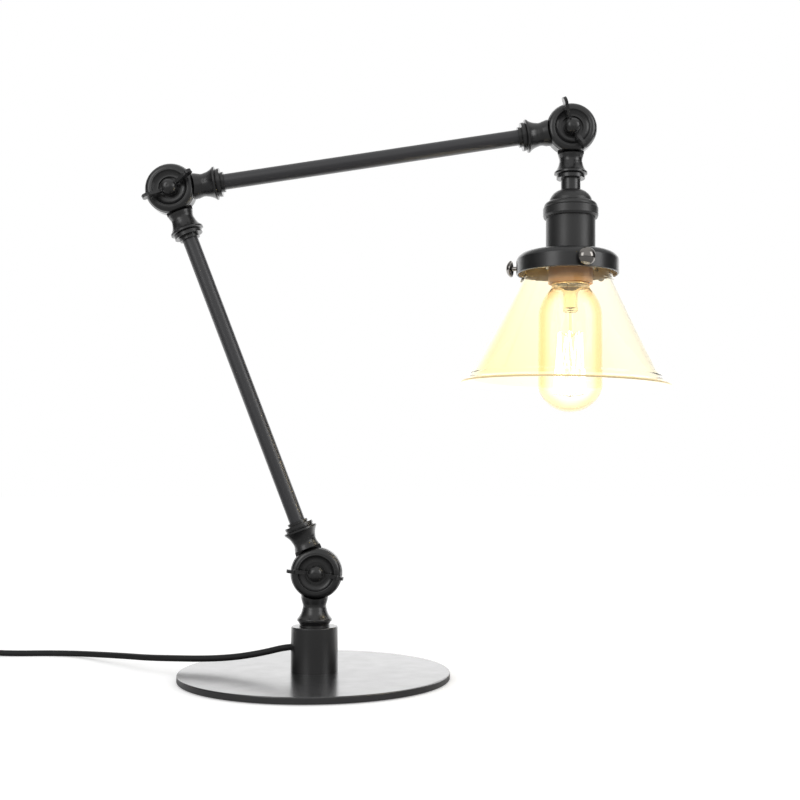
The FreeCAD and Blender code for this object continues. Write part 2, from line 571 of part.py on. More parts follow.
def make_clamp_ring():
    """Ring under the top of the gallery that clamps it to the lampholder."""
    body = new_body("gallery_clamp_ring", **HEAD_FRAME)
    low = "holder_end + gallery_wall + 2 * fit"
    turn(body, "ring", "XZ_Plane", below(tube_outline(
        "clamp_ring_d / 2", "skirt_d / 2 + fit", low, low + " + clamp_ring_h")))


GALLERY_FRAME = dict(at=(HEAD[0] + " - gallery_shift", "0", HEAD[2]), turn_y="head_tilt")


def face_bearing(sketch, bearing):
    """Turn an upright sketch about the Z axis of its body."""
    sketch.AttachmentOffset = FreeCAD.Placement(
        sketch.AttachmentOffset.Base, FreeCAD.Rotation(Vector(0, 1, 0), size(bearing)))
    bind(sketch, "AttachmentOffset.Rotation.Angle", bearing)


def make_gallery():
    """Spun cup with three tapped holes for the thumb screws, off centre on the skirt that it hangs from."""
    body = new_body("gallery", **GALLERY_FRAME)
    out = "gallery_d / 2"
    top = "holder_end + fit"
    inside = out + " - gallery_wall"
    turn(body, "cup", "XZ_Plane", below([
        ("0", top), ("gallery_flat_d / 2", top), ("arc", out + " - 2.3", top + " + 1.5"),
        (out + " - 0.1", "gallery_shoulder - 0.6"), (out, "gallery_shoulder"), (out, "gallery_end - 0.4"),
        (out + " - 0.4", "gallery_end"), (inside, "gallery_end"), (inside, "gallery_shoulder"),
        ("arc", inside + " - 2.1", top + " + gallery_wall + 1.3"),
        ("gallery_flat_d / 2", top + " + gallery_wall"),
        ("0", top + " + gallery_wall")]))
    turn(body, "skirt_hole", "XZ_Plane", below([
        ("0", top + " - 1"), ("skirt_d / 2 + fit", top + " - 1"),
        ("skirt_d / 2 + fit", top + " + 2 * gallery_wall"),
        ("0", top + " + 2 * gallery_wall")]), shift=("gallery_shift * cos(head_tilt)", "0", "0"), cut=True)
    for number in range(3):
        bearing = "thumb_first + %d * thumb_step" % number
        tapped = turn(body, "thumb_hole_%d" % number, "XZ_Plane", [
            ("gallery_d / 2 - 2 * gallery_wall", "0"), ("gallery_d / 2 + 2 * gallery_wall", "0"),
            ("gallery_d / 2 + 2 * gallery_wall", "thumb_d / 2 + fit"),
            ("gallery_d / 2 - 2 * gallery_wall", "thumb_d / 2 + fit")],
            axis="H_Axis", shift=("0", "-thumb_at", "0"), cut=True)
        face_bearing(tapped.Profile[0], bearing)


def make_thumb_screw(number):
    """Thumb screw through the wall of the gallery, built along +X and turned to its bearing."""
    body = new_body("thumb_screw_%d" % (number + 1), **GALLERY_FRAME)
    bearing = "thumb_first + %d * thumb_step" % number
    head = "thumb_head_d / 2"
    reach = "thumb_end"
    tip = "shade_neck_d / 2 + thumb_play"
    screw = turn(body, "screw", "XZ_Plane", [
        (tip, "0"), (tip, "thumb_point_d / 2 - 0.3"), (tip + " + 0.3", "thumb_point_d / 2"),
        (tip + " + thumb_point", "thumb_point_d / 2"), (tip + " + thumb_point + 0.6", "thumb_d / 2"),
        ("gallery_d / 2 + 0.3", "thumb_d / 2"),
        (reach + " - 5", "thumb_neck / 2"), (reach + " - 2.3", "thumb_neck / 2 + 0.2"),
        ("arc", reach + " - 2.7", head + " * 0.65"), (reach + " - 4.1", head + " - 0.5"),
        (reach + " - 3.9", head),
        (reach + " - 3.3", head), ("arc", reach + " - 1", head + " * 0.64"), (reach, "0")],
        axis="H_Axis", shift=("0", "-thumb_at", "0"))
    face_bearing(screw.Profile[0], bearing)


def make_shade():
    """Glass cone with a lip above the thumb screws, hung a little out of square."""
    lean = "head_tilt + shade_lean"
    at = (HEAD[0] + " - gallery_shift + thumb_at * (sin(%s) - sin(head_tilt))" % lean, "0",
          HEAD[2] + " + thumb_at * (cos(%s) - cos(head_tilt))" % lean)
    body = new_body("shade", at=at, turn_y=lean)
    thick = "shade_wall"
    low = "shade_rim - shade_flare"
    edge = "shade_low_d / 2 + shade_flare_w"
    slope = "(shade_low_d - shade_top_d) / 2 / (shade_rim - shade_flare - shade_top)"
    mid = "(shade_top + shade_rim - shade_flare) / 2"
    mid_r = "(shade_top_d + shade_low_d) / 4 - 0.25"
    turn(body, "glass", "XZ_Plane", below([
        ("shade_lip_d / 2 - 0.5", "shade_lip_top"), ("shade_lip_d / 2", "shade_lip_top + 0.5"),
        ("shade_lip_d / 2", "shade_lip_top + shade_lip_w"),
        ("shade_neck_d / 2", "shade_lip_top + shade_lip_w + 0.5"),
        ("shade_neck_d / 2", "shade_neck_end"), ("arc", "shade_neck_d / 2 + 0.28", "shade_neck_end + 2.3"),
        ("shade_top_d / 2", "shade_top"), ("arc", mid_r, mid), ("shade_low_d / 2", low),
        ("arc", "shade_low_d / 2 + 2.7", low + " + 4.4"), (edge, "shade_rim - 1.2"),
        ("arc", edge + " + 0.1", "shade_rim - 0.3"), (edge + " - 1", "shade_rim"),
        ("arc", "shade_low_d / 2 + 1.2", low + " + 6"), ("shade_low_d / 2 - %s" % thick, low + " + 1.2"),
        ("arc", mid_r + " - " + thick, mid + " + 1"), ("shade_top_d / 2 - %s" % thick, "shade_top + 0.6"),
        ("arc", "shade_neck_d / 2 + 0.22 - %s" % thick, "shade_neck_end + 2.6"),
        ("shade_neck_d / 2 - %s" % thick, "shade_neck_end + 0.3"),
        ("shade_neck_d / 2 - %s" % thick, "shade_lip_top")]))


# Bulb


def make_bulb():
    glass = new_body("bulb_glass", **HEAD_FRAME)
    out = "bulb_d / 2"
    neck = "bulb_neck_d / 2"
    wall = "bulb_wall"
    turn(glass, "envelope", "XZ_Plane", below([
        ("cap_d / 2 + 0.1", "cap_end + fit"), (neck, "cap_end + 1.6"), (neck + " + 0.2", "cap_end + 2.6"),
        ("arc", out + " * 0.91", "bulb_full - 12"), (out, "bulb_full"), (out, "bulb_round"),
        ("arc", out + " * 0.896", "bulb_round + 0.33 * bulb_dome"),
        (out + " * 0.687", "bulb_round + 0.655 * bulb_dome"),
        ("arc", out + " * 0.37", "bulb_round + 0.92 * bulb_dome"), ("0", "bulb_round + bulb_dome"),
        ("0", "bulb_round + bulb_dome - " + wall),
        ("arc", out + " * 0.36", "bulb_round + 0.92 * bulb_dome - " + wall),
        (out + " * 0.687 - 0.5", "bulb_round + 0.655 * bulb_dome - 0.5"),
        ("arc", out + " * 0.896 - 0.65", "bulb_round + 0.33 * bulb_dome - 0.2"),
        (out + " - " + wall, "bulb_round"), (out + " - " + wall, "bulb_full"),
        ("arc", out + " * 0.91 - 0.6", "bulb_full - 11.6"), (neck + " - 0.6", "cap_end + 3"),
        (neck + " - 0.9", "cap_end + fit")]))
    cap = new_body("bulb_cap", **HEAD_FRAME)
    turn(cap, "shell", "XZ_Plane", below([
        ("cap_d / 2 - 2.5", "cap_top"), ("cap_d / 2 - 1.5", "cap_top"), ("cap_d / 2", "cap_top + 2"),
        ("cap_d / 2", "cap_end - 1.2"), ("cap_d / 2 + 0.35", "cap_end - 0.8"),
        ("cap_d / 2 + 0.35", "cap_end"),
        ("cap_d / 2 - 0.7", "cap_end"), ("cap_d / 2 - 0.7", "cap_top + 2.4"),
        ("cap_d / 2 - 2.5", "cap_top + 1")]))
    insulator = new_body("bulb_insulator", **HEAD_FRAME)
    turn(insulator, "ring", "XZ_Plane", below([
        ("tip_d / 2 + fit", "tip_top + 1"), ("tip_d / 2 + 1", "tip_top + 1"),
        ("cap_d / 2 - 2.5 - fit", "cap_top + 0.4"),
        ("cap_d / 2 - 2.5 - fit", "cap_top + 1.4"), ("tip_d / 2 + fit", "cap_top + 1.4")]))
    tip = new_body("bulb_contact", **HEAD_FRAME)
    turn(tip, "button", "XZ_Plane", below([
        ("0", "tip_top"), ("tip_d / 6", "tip_top"), ("arc", "tip_d / 3", "tip_top + 0.3"),
        ("tip_d / 2", "tip_top + 1"),
        ("tip_d / 2", "cap_top"), ("0", "cap_top")]))


def make_bulb_mount():
    """Glass mount inside the bulb: a flared foot on the neck, a pinched stem, and a rod with a button."""
    body = new_body("bulb_mount", **HEAD_FRAME)
    foot = "bulb_neck_d / 2 - 0.9 - fit"
    stem = "mount_d / 2"
    turn(body, "mount", "XZ_Plane", below([
        (foot + " - 1", "cap_end + 0.3"), (foot, "cap_end + 0.3"), (foot, "cap_end + 1.1"),
        ("arc", stem + " + 1.9", "cap_end + 2.6"), (stem, "cap_end + 6.5"), (stem, "mount_end - 1"),
        (stem + " - 1", "mount_end"), ("rod_d / 2", "mount_end"), ("rod_d / 2", "rod_end - button_d / 2"),
        ("arc", "button_d / 2", "rod_end"), ("0", "rod_end + button_d / 2"), ("0", "mount_end - 2"),
        (stem + " - 1", "mount_end - 3"), (stem + " - 1", "cap_end + 6"),
        ("arc", stem + " + 0.9", "cap_end + 2.2")]))


def make_filament():
    """Cage of straight strands that zigzag between an upper and a lower circle of hooks."""
    body = doc.addObject("Part::Feature", "bulb_filament")
    body.Label = "bulb_filament"
    loops = int(size("filament_loops"))
    radius = size("filament_d") / 2
    corners = []
    for number in range(2 * loops):
        high = number % 2 == 0
        reach = size("filament_top_r") if high else size("filament_end_r")
        bearing = math.pi * number / loops
        depth = size("filament_top") if high else size("filament_end")
        corners.append(Vector(reach * math.cos(bearing), reach * math.sin(bearing), -depth))
    pieces = []
    for start, end in zip(corners, corners[1:]):
        pieces.append(Part.makeCylinder(radius, (end - start).Length, start, end - start))
        pieces.append(Part.makeSphere(radius, end))
    body.Shape = Part.makeSphere(radius, corners[0]).multiFuse(pieces)
    place_at_head(body)


def place_at_head(feature):
    feature.Placement = FreeCAD.Placement(
        Vector(*[size(e) for e in HEAD]), FreeCAD.Rotation(Vector(0, 1, 0), size("head_tilt")))
    bodies.append(feature)


def make_supports():
    """Wires that hold the cage: hooks from the button to its upper corners, a spider for the lower ones."""
    body = doc.addObject("Part::Feature", "bulb_supports")
    body.Label = "bulb_supports"
    loops = int(size("filament_loops"))
    thin = size("filament_d") / 2 * 0.6
    gap = size("filament_d") / 2 + 0.3
    spine_end = size("spider_at")
    pieces = [Part.makeCylinder(thin * 1.6, spine_end - size("rod_end + button_d / 2") - 0.05,
            Vector(0, 0, -spine_end))]
    for number in range(2 * loops):
        bearing = math.pi * number / loops
        out = Vector(math.cos(bearing), math.sin(bearing), 0)
        high = number % 2 == 0
        depth = size("rod_end + button_d / 2 + 1.2") if high else spine_end - thin
        reach = size("filament_top_r") if high else size("filament_end_r")
        top = size("filament_top") - gap if high else size("filament_end") + gap
        tip = out * (reach - (gap if high else 0)) + Vector(0, 0, -top)
        start = Vector(0, 0, -depth)
        pieces.append(Part.makeCylinder(thin, (tip - start).Length, start, tip - start))
        pieces.append(Part.makeSphere(thin, tip))
    body.Shape = pieces[0].multiFuse(pieces[1:])
    place_at_head(body)


# Cord. Its free stretches are straight runs joined by arcs, the coil is quarter turns of two arcs.


def cord_path(points):
    """Edges along hand-set points, with the radius of each bend. An arc takes 0.45 of its shorter run."""
    edges = []
    radii = []
    last = points[0]
    for before, corner, after in zip(points, points[1:], points[2:]):
        back = (before - corner).normalize()
        ahead = (after - corner).normalize()
        half_turn = (math.pi - back.getAngle(ahead)) / 2
        reach = 0.45 * min((before - corner).Length, (after - corner).Length)
        radius = reach / math.tan(half_turn)
        inside = (back + ahead).normalize() * radius * (1 / math.cos(half_turn) - 1)
        edges.append(Part.LineSegment(last, corner + back * reach).toShape())
        edges.append(Part.Arc(corner + back * reach, corner + inside, corner + ahead * reach).toShape())
        radii.append(radius)
        last = corner + ahead * reach
    edges.append(Part.LineSegment(last, points[-1]).toShape())
    return edges, radii


def make_tube(label, edges, diameter):
    """Round tube along a path, checked against its section times its length."""
    path = Part.Wire(edges)
    start = edges[0].Vertexes[0].Point
    section = Part.makeCircle(diameter / 2, start, edges[0].tangentAt(edges[0].FirstParameter))
    body = doc.addObject("Part::Feature", label)
    body.Label = label
    body.Shape = path.makePipeShell([Part.Wire(section)], True, False)
    expected = math.pi * diameter ** 2 / 4 * path.Length
    if abs(body.Shape.Volume / expected - 1) > 0.01:
        raise SystemExit("%s: its volume is not its section times its length" % label)
    print("%s: %.0f mm long" % (label, path.Length))
    bodies.append(body)
    return path


def coil_point(turns):
    """Point of the winding after so many turns, clockwise from above, from the side nearest the viewer."""
    lap = size("coil_turns") + 0.5
    layer = min(int(turns / lap), int(size("coil_layers")) - 1)
    into = turns - layer * lap
    climb = min(max((into - size("coil_turns")) * 2, 0), 1)
    wound = min(into, size("coil_turns")) * size("coil_pitch")
    inner = size("coil_r - coil_turns * coil_pitch")
    radius = size("coil_r") - wound if layer % 2 == 0 else inner + wound
    bearing = -math.pi / 2 - 2 * math.pi * turns
    height = size("coil_low") + size("coil_layer") * (layer + climb ** 2 * (3 - 2 * climb))
    return Vector(size("coil_x") + radius * math.cos(bearing),
                  size("switch_y + coil_r") + radius * math.sin(bearing), height)


def two_arcs(start, start_way, end, end_way):
    """Biarc from start to end that keeps the direction given at each."""
    chord = end - start
    both = start_way + end_way
    spread = 2 * (1 - start_way.dot(end_way))
    along = chord.dot(both)
    reach = (-along + math.sqrt(along ** 2 + spread * chord.dot(chord))) / spread
    joint = (start + end + (start_way - end_way) * reach) * 0.5
    edges = []
    for low, corner, high in ((start, start + start_way * reach, joint),
            (joint, end - end_way * reach, end)):
        back = (low - corner).normalize()
        ahead = (high - corner).normalize()
        half_turn = (math.pi - back.getAngle(ahead)) / 2
        inside = (back + ahead).normalize() * reach / math.tan(half_turn) * (1 / math.cos(half_turn) - 1)
        edges.append(Part.Arc(low, corner + inside, high).toShape())
    return edges


def coil_path():
    step = 0.25
    small = 0.001
    lap = size("coil_turns") + 0.5
    total = lap * int(size("coil_layers")) - 0.5
    count = round(total / step)
    points = [coil_point(step * number) for number in range(count + 1)]
    ways = [(coil_point(step * number + small) - coil_point(step * number - small)).normalize()
            for number in range(1, count)]
    ways = [Vector(-1, 0, 0)] + ways + [Vector(1, 0, 0)]
    edges = [Part.LineSegment(points[0] - ways[0] * size("cord_d"), points[0]).toShape()]
    for start, start_way, end, end_way in zip(points, ways, points[1:], ways[1:]):
        edges += two_arcs(start, start_way, end, end_way)
    return edges + [Part.LineSegment(points[-1], points[-1] + ways[-1] * size("cord_d")).toShape()]


def least_gap(path, diameter):
    """Least gap between parts of a tube that are over four diameters apart along it."""
    points = path.discretize(Distance=1.0)
    skip = int(4 * diameter)
    return min(point.distanceToPoint(other) for index, point in enumerate(points)
               for other in points[index + skip:]) - diameter


def make_cord():
    diameter = size("cord_d")
    wall_in = size("switch_wall + cord_in")
    half_switch = size("switch_l / 2")
    middle = size("switch_x")
    level = size("switch_split")
    across = size("switch_y")
    inner_start = Vector(-size("post_bore_d / 2 - cord_in"), 0, size("cord_exit"))
    coil = coil_path()
    coil_start = coil[0].Vertexes[0].Point
    coil_end = coil[-1].Vertexes[-1].Point
    routes = {
        "cord_lead": [inner_start] + [Vector(*point) for point in LEAD_POINTS] + [
            Vector(middle + half_switch - wall_in, across, level)],
        "cord_link": [Vector(middle - half_switch + wall_in, across, level)] + [
            Vector(*point) for point in LINK_POINTS] + [coil_start],
        "cord_tail": [coil_end] + [Vector(*point) for point in TAIL_POINTS] + [
            Vector(size("plug_x"), size("plug_y"), size("plug_h / 2"))]}
    for label, points in routes.items():
        edges, radii = cord_path(points)
        make_tube(label, edges, diameter)
        print("%s: bend radii %s" % (label, ", ".join("%.0f" % radius for radius in radii)))
    wound = make_tube("cord_coil", coil, diameter)
    print("cord_coil: least gap to itself %.2f mm" % least_gap(wound, diameter))


def make_post_wire():
    """Inner wires from the end of the cord, round a bend inside the post and up the pipe."""
    bend = size("post_bore_d / 2 - cord_in") - 2
    level = size("cord_exit")
    start = Vector(-size("post_bore_d / 2 - cord_in"), 0, level)
    slack = bend * (1 - math.cos(math.pi / 4))
    edges = [
        Part.LineSegment(start, Vector(-bend, 0, level)).toShape(),
        Part.Arc(Vector(-bend, 0, level), Vector(-slack, 0, level + slack),
            Vector(0, 0, level + bend)).toShape(),
        Part.LineSegment(Vector(0, 0, level + bend),
            Vector(0, 0, size("low_pivot - neck_start - wire_back"))).toShape()]
    make_tube("post_wire", edges, size("wire_d"))


def make_coil_tie():
    """Band around the coil on the side away from the base."""
    middle = "coil_x - coil_r + coil_pitch * coil_turns / 2"
    body = new_body("coil_tie", at=(middle, "switch_y + coil_r",
            "coil_low + (coil_layers - 1) * coil_layer / 2"))
    wide = "(coil_pitch * (coil_turns - 0.5) + cord_d) / 2 + tie_gap"
    high = "((coil_layers - 1) * coil_layer + cord_d) / 2 + tie_gap"

    def loop(name, grow):
        return draw(body, name, "XZ_Plane", rounded(
            "2 * (%s + %s)" % (wide, grow), "2 * (%s + %s)" % (high, grow), "0.6 + " + grow))
    press(body, "band", loop("band_outline", "tie_thick"), "tie_w", both=True)
    press(body, "inside", loop("inside_outline", "0"), "2 * tie_w", both=True, cut=True)


# In-line switch and plug


def rounded(length, width, radius):
    """Rectangle with rounded corners about the sketch's origin."""
    points = []
    for x_sign, y_sign in ((1, -1), (1, 1), (-1, 1), (-1, -1)):
        def at(x_in, y_in):
            return ("%d * ((%s) / 2 - %s)" % (x_sign, length, x_in),
                    "%d * ((%s) / 2 - %s)" % (y_sign, width, y_in))
        soft = "(%s) * (1 - cos(45))" % radius
        ends = [at("(%s)" % radius, "0"), ("arc",) + at(soft, soft), at("0", "(%s)" % radius)]
        points += ends if x_sign * y_sign < 0 else ends[::-1]
    return points


def make_switch_shell(label, low, high, wall_low, wall_high):
    """Half of the housing between two heights, hollow between two others, with half of each cord hole."""
    body = new_body(label, at=("switch_x", "switch_y", "0"))
    outer = draw(body, "outer_outline", "XY_Plane", rounded("switch_l", "switch_w", "switch_round"),
            ("0", "0", low))
    press(body, "outer", outer, "%s - (%s)" % (high, low))
    inner = draw(body, "inner_outline", "XY_Plane", rounded(
        "switch_l - 2 * switch_wall", "switch_w - 2 * switch_wall", "switch_round - switch_wall"),
        ("0", "0", wall_low))
    press(body, "inner", inner, "%s - (%s)" % (wall_high, wall_low), cut=True, backwards=True)
    hole = draw_circle(body, "cord_hole_outline", "YZ_Plane", "0", "switch_split", "cord_d + 2 * fit")
    press(body, "cord_hole", hole, "2 * switch_l", both=True, cut=True)
    return body


def add_bosses(body, low, high):
    """Two pillars on opposite corners."""
    for name, sign in (("first", "1"), ("second", "-1")):
        boss = draw_circle(body, name + "_boss_outline", "XY_Plane", sign + " * switch_screw_x",
                           sign + " * -switch_screw_y", "switch_boss_d", ("0", "0", low))
        press(body, name + "_boss", boss, "%s - (%s)" % (high, low))


def drill_bosses(body, name, diameter, low, high):
    for number, sign in enumerate(("1", "-1")):
        hole = draw_circle(body, "%s_%d_outline" % (name, number), "XY_Plane", sign + " * switch_screw_x",
                           sign + " * -switch_screw_y", diameter, ("0", "0", low))
        press(body, "%s_%d" % (name, number), hole, "%s - (%s)" % (high, low), cut=True, backwards=True)


def make_switch():
    base = make_switch_shell("switch_base", "0", "switch_split", "switch_wall", "switch_split")
    add_bosses(base, "switch_wall - 1", "switch_split")
    drill_bosses(base, "screw_hole", "switch_screw_d + 2 * fit", "0", "switch_split")
    drill_bosses(base, "head_hole", "switch_screw_head_d + 2 * fit", "0", "2 * switch_screw_head_h")
    roof = "switch_h - switch_wall"
    cover = make_switch_shell("switch_cover", "switch_split", "switch_h", "switch_split", roof)
    add_bosses(cover, "switch_split", roof)
    drill_bosses(cover, "screw_hole", "switch_screw_d + 2 * fit", "switch_split", roof + " - 1")
    rib_in = "rocker_w / 2 + rocker_gap"
    for name, sign in (("front", -1), ("back", 1)):
        rib = draw(cover, name + "_rib_outline", "XY_Plane", [
            ("%s * 2 * rocker_pin_d" % turn_sign, "%d * (%s)" % (sign, edge)) for turn_sign, edge in (
                ("-1", rib_in), ("1", rib_in), ("1", rib_in + " + rocker_rib"),
                ("-1", rib_in + " + rocker_rib"))],
            ("0", "0", "rocker_pivot - rocker_pin_d"))
        press(cover, name + "_rib", rib, roof + " - rocker_pivot + rocker_pin_d")
    window = draw(cover, "window_outline", "XY_Plane", rounded(
        "2 * (rocker_r + rocker_gap)", "2 * (%s)" % rib_in, "0.6"), ("0", "0", roof + " - 1"))
    press(cover, "window", window, "switch_wall + 2", cut=True, backwards=True)
    pin_hole = draw_circle(cover, "pin_hole_outline", "XZ_Plane", "0", "rocker_pivot",
            "rocker_pin_d + 2 * rocker_run")
    press(cover, "pin_hole", pin_hole, "rocker_w + 2 * (rocker_gap + rocker_rib)", both=True, cut=True)
    screws = new_body("switch_screws", at=("switch_x", "switch_y", "0"))
    for number, sign in enumerate(("1", "-1")):
        turn(screws, "screw_%d" % number, "XZ_Plane", [
            ("0", "switch_screw_head_h"), ("switch_screw_head_d / 2", "switch_screw_head_h"),
            ("switch_screw_head_d / 2", "2 * switch_screw_head_h - fit"),
            ("switch_screw_d / 2", "2 * switch_screw_head_h - fit"),
            ("switch_screw_d / 2", roof + " - 1.5"),
            ("0", roof + " - 1.5")],
            shift=(sign + " * switch_screw_x", "0", sign + " * switch_screw_y"))


def make_rocker():
    """Rocker drawn level and set down at the end of its swing."""
    body = new_body("switch_rocker", at=("switch_x", "switch_y", "rocker_pivot"), turn_y="-rocker_swing")
    top = "35"
    low = "-13"

    def at(bearing, sign):
        return ("%d * rocker_r * cos(%s)" % (sign, bearing), "rocker_r * sin(%s)" % bearing)
    outline = draw(body, "cap_outline", "XZ_Plane", [
        at(low, 1), ("arc",) + at("11", 1), at(top, 1), ("0", "rocker_r * sin(%s) - 0.7" % top),
        at(top, -1),
        ("arc",) + at("11", -1), at(low, -1)])
    press(body, "cap", outline, "rocker_w", both=True)
    pin = draw_circle(body, "pin_outline", "XZ_Plane", "0", "0", "rocker_pin_d")
    press(body, "pin", pin, "rocker_w + 2 * (rocker_gap + rocker_rib) - 0.2", both=True)


def make_plug():
    body = new_body("plug_body", at=("plug_x", "plug_y", "plug_h / 2"))
    flare = "0.38 * plug_l"
    wide = "0.62 * plug_l"
    half = [("0", "plug_neck / 2"), (flare, "plug_neck / 2 + 1"),
            ("arc", "0.54 * plug_l", "0.62 * plug_w / 2"), (wide, "plug_w / 2 - 1"),
            ("plug_l", "plug_w / 2")]
    other = [(item[0], item[1], "-(%s)" % item[2]) if item[0] == "arc" else (item[0], "-(%s)" % item[1])
             for item in reversed(half)]
    press(body, "slab", draw(body, "slab_outline", "XY_Plane", half + other), "plug_h", both=True)
    for name, sign in (("top", "1"), ("bottom", "-1")):
        wedge = draw(body, name + "_wedge_outline", "XZ_Plane", [
            ("-1", sign + " * plug_neck / 2"), (flare, sign + " * (plug_neck / 2 + 1)"),
            (wide, sign + " * plug_h / 2"), (wide, sign + " * plug_h"), ("-1", sign + " * plug_h")])
        press(body, name + "_wedge", wedge, "2 * plug_w", both=True, cut=True)
    pins = new_body("plug_pins", at=("plug_x", "plug_y", "plug_h / 2"))
    for number, sign in enumerate(("1", "-1")):
        turn(pins, "pin_%d" % number, "XY_Plane", [
            ("plug_l", "0"), ("plug_l", "plug_pin_d / 2"), ("plug_l + plug_pin_l - 1", "plug_pin_d / 2"),
            ("arc", "plug_l + plug_pin_l - 0.3", "plug_pin_d / 2 - 0.6"), ("plug_l + plug_pin_l", "0")],
            axis="H_Axis", shift=("0", sign + " * plug_pitch / 2", "0"))


def build():
    make_base_plate()
    make_base_pad()
    make_post()
    make_post_screws()
    make_cord_bush()
    make_post_pipe()
    make_knuckle_halves()
    make_arm("lower_arm", "lower_reach", LOWER_ARM)
    make_arm("upper_arm", "upper_reach", UPPER_ARM)
    make_pivot_hardware()
    make_head_stem()
    make_socket_cap()
    make_socket_ring()
    make_socket_body()
    make_socket_inside()
    make_gallery()
    make_clamp_ring()
    for number in range(3):
        make_thumb_screw(number)
    make_shade()
    make_bulb()
    make_bulb_mount()
    make_filament()
    make_supports()
    make_cord()
    make_post_wire()
    make_coil_tie()
    make_switch()
    make_rocker()
    make_plug()
    doc.recompute()


def check():
    """Stop unless every feature was made and every sub-part is one valid shape."""
    faults = ["%s: %s" % (item.Label, ", ".join(item.State)) for item in doc.Objects
              if "Invalid" in item.State or "Error" in item.State]
    faults += ["%s: its shape is null or not valid" % body.Label for body in bodies
               if body.Shape.isNull() or not body.Shape.isValid()]
    if faults:
        raise SystemExit("\n".join(faults))


def write():
    os.makedirs("parts", exist_ok=True)
    for body in bodies:
        body.Shape.exportStep("parts/%s.step" % body.Label)
        print("%s: %d solids, %.0f mm3" % (body.Label, len(body.Shape.Solids), body.Shape.Volume))


build()
check()
write()
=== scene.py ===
"""Looks of an adjustable table lamp: black lacquered metal, a straw yellow glass cone and a lit filament bulb.

Lengths are in metres, in the frame of the model: +Z up, +X from the post towards the shade, +Y to the back.
"""
import bpy
import json
import math
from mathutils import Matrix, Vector


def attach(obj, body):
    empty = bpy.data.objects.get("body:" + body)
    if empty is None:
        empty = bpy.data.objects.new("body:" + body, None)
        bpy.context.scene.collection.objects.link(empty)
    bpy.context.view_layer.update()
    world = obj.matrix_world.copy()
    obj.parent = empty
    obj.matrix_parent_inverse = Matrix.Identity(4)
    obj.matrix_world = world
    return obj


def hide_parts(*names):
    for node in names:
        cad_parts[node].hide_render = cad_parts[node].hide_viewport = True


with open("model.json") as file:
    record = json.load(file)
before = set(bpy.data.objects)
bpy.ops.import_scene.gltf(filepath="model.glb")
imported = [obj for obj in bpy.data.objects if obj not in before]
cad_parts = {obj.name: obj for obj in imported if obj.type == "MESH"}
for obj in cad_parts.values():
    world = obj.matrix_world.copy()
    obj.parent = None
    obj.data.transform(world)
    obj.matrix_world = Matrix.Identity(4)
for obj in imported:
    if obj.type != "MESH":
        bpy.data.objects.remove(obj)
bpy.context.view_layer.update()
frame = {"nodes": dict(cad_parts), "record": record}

MM = 0.001

# Camera of the photograph, in millimetres and degrees, from a fit to the pivots, the base and the shade's rim
CAMERA_AT = (60.13, -811.04, 143.71)
CAMERA_PITCH = 3.653
CAMERA_LENS = 51.37
SENSOR_W = 36

# World: its strength for diffuse light, and for gloss along two axes of its direction.
# Each span runs from one place to another on its axis, and from one strength to another.
DIFFUSE_LEVEL = 0.75
GLOSS_BACK = ("Y", 0.55, 0.85, 0.0, 1.35)
GLOSS_FRONT = ("Y", 0.1, -0.7, 0.05, 0.5)
GLOSS_RISE = ("Z", -0.1, 0.2, 0.3, 1.0)
GLOSS_ABOVE = ("Z", 0.35, 0.9, 0.0, 0.5)

# Floor: half its side, where gloss starts and ends to see it white, and each socket in plain and in white
FLOOR_REACH = 6
FLOOR_BEHIND = (0.02, 0.3)
FLOOR_LEVELS = {"Base Color": (0.3, 0.9), "Emission Strength": (0.0, 0.35)}

# Lamps
SOFTBOX_AIM = (0.03, 0, 0.2)
SOFTBOX_W, SOFTBOX_H = 0.75, 1.0
SOFTBOXES = {"softbox_left": ((-0.95, -1.25, 0.85), 3.2), "softbox_right": ((1.5, -0.75, 0.85), 4.2)}
BULB_MIDDLE = (0.1818, 0, 0.241)
BULB_LIGHT_R = 0.008
BULB_LIGHT_POWER = 0.05
BULB_LIGHT_COLOUR = (1.0, 0.6, 0.26)

# Glass: how much of a shadow it leaves out, and a painted glow on the bulb's glass
GLASS_INDEX = 1.45
GLASS_SHADOW_LOSS = 0.85
BULB_GLASS_PAINTED_GLOW = 0.04
BULB_EDGE = (0.16, 0.5)

# Shade: its tint changes along one direction, and its rim, below a slanted plane, has a faint painted glow
SHADE_TINT_ALONG, SHADE_TINT_SPAN = (4.3, 0, 3.5), (1.105, 2.105)
SHADE_RIM_SLANT, SHADE_RIM_SPAN, SHADE_RIM_PAINTED_GLOW = (0.028, 0, 1), (0.2135, 0.2145), 0.4

# Lampholder's skirt: its heights, and colours at shares of them. The orange lowest down is painted light from the
# bulb, and the brown above it is partly its own tone and partly painted bulb light.
SKIRT_LOW, SKIRT_TOP = 0.277, 0.301
SKIRT_PAINTED_BULB_LIGHT = (0.12, (0.75, 0.4, 0.16, 1))
SKIRT_BROWN_AND_PAINTED_LIGHT = [(0.3, (0.33, 0.19, 0.13, 1)), (0.85, (0.3, 0.19, 0.14, 1))]
SKIRT_BLACK = (0.95, (0.012, 0.012, 0.0124, 1))

# Point inside the gallery's ring: faces that look towards it are its inside
GALLERY_MIDDLE = (0.1802, 0, 0.29)

BLACK = (0.006, 0.006, 0.0066)

# Nodes with a finish of their own
OWN_FINISH = {"base_plate": "plate", "lower_arm_tube": "tube", "upper_arm_tube": "tube", "gallery": "gallery",
              "socket_body": "skirt"}

